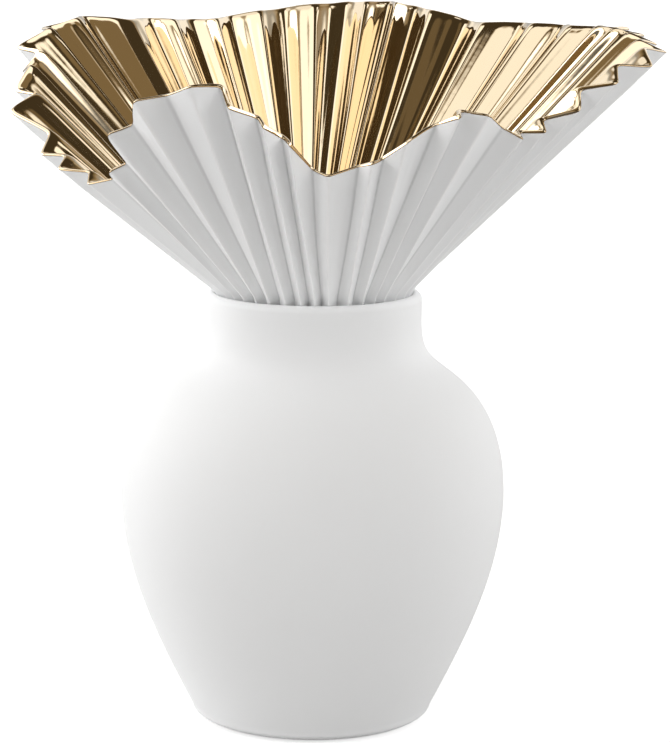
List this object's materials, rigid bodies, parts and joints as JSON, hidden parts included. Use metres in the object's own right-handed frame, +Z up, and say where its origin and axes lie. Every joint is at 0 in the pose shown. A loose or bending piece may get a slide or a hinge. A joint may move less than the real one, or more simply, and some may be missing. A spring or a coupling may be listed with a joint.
{
  "type": "porcelain vase",
  "caption": "White unglazed porcelain vase with a round belly, short neck and a wide pleated collar lined in gold.",
  "frame": {"origin": "centre of the body's flat underside, on the axis of the foot, belly and neck", "axes": "+Z up along the body's axis; -Y is the front, where the collar is lowest; +X is the side where the collar reaches furthest"},
  "size_m": [0.2422, 0.2477, 0.2604],
  "materials": {
    "bisque_body": "matte, unglazed",
    "bisque_collar": "matte, unglazed",
    "gold_lustre": "mirror-bright fired gold",
    "slip_joint": "matte, unglazed"
  },
  "bodies": {
    "root": {"vase_body": "bisque_body", "pleated_collar": "bisque_collar", "gold_lining": "gold_lustre", "luting_ring": "slip_joint"}
  },
  "joints": []
}
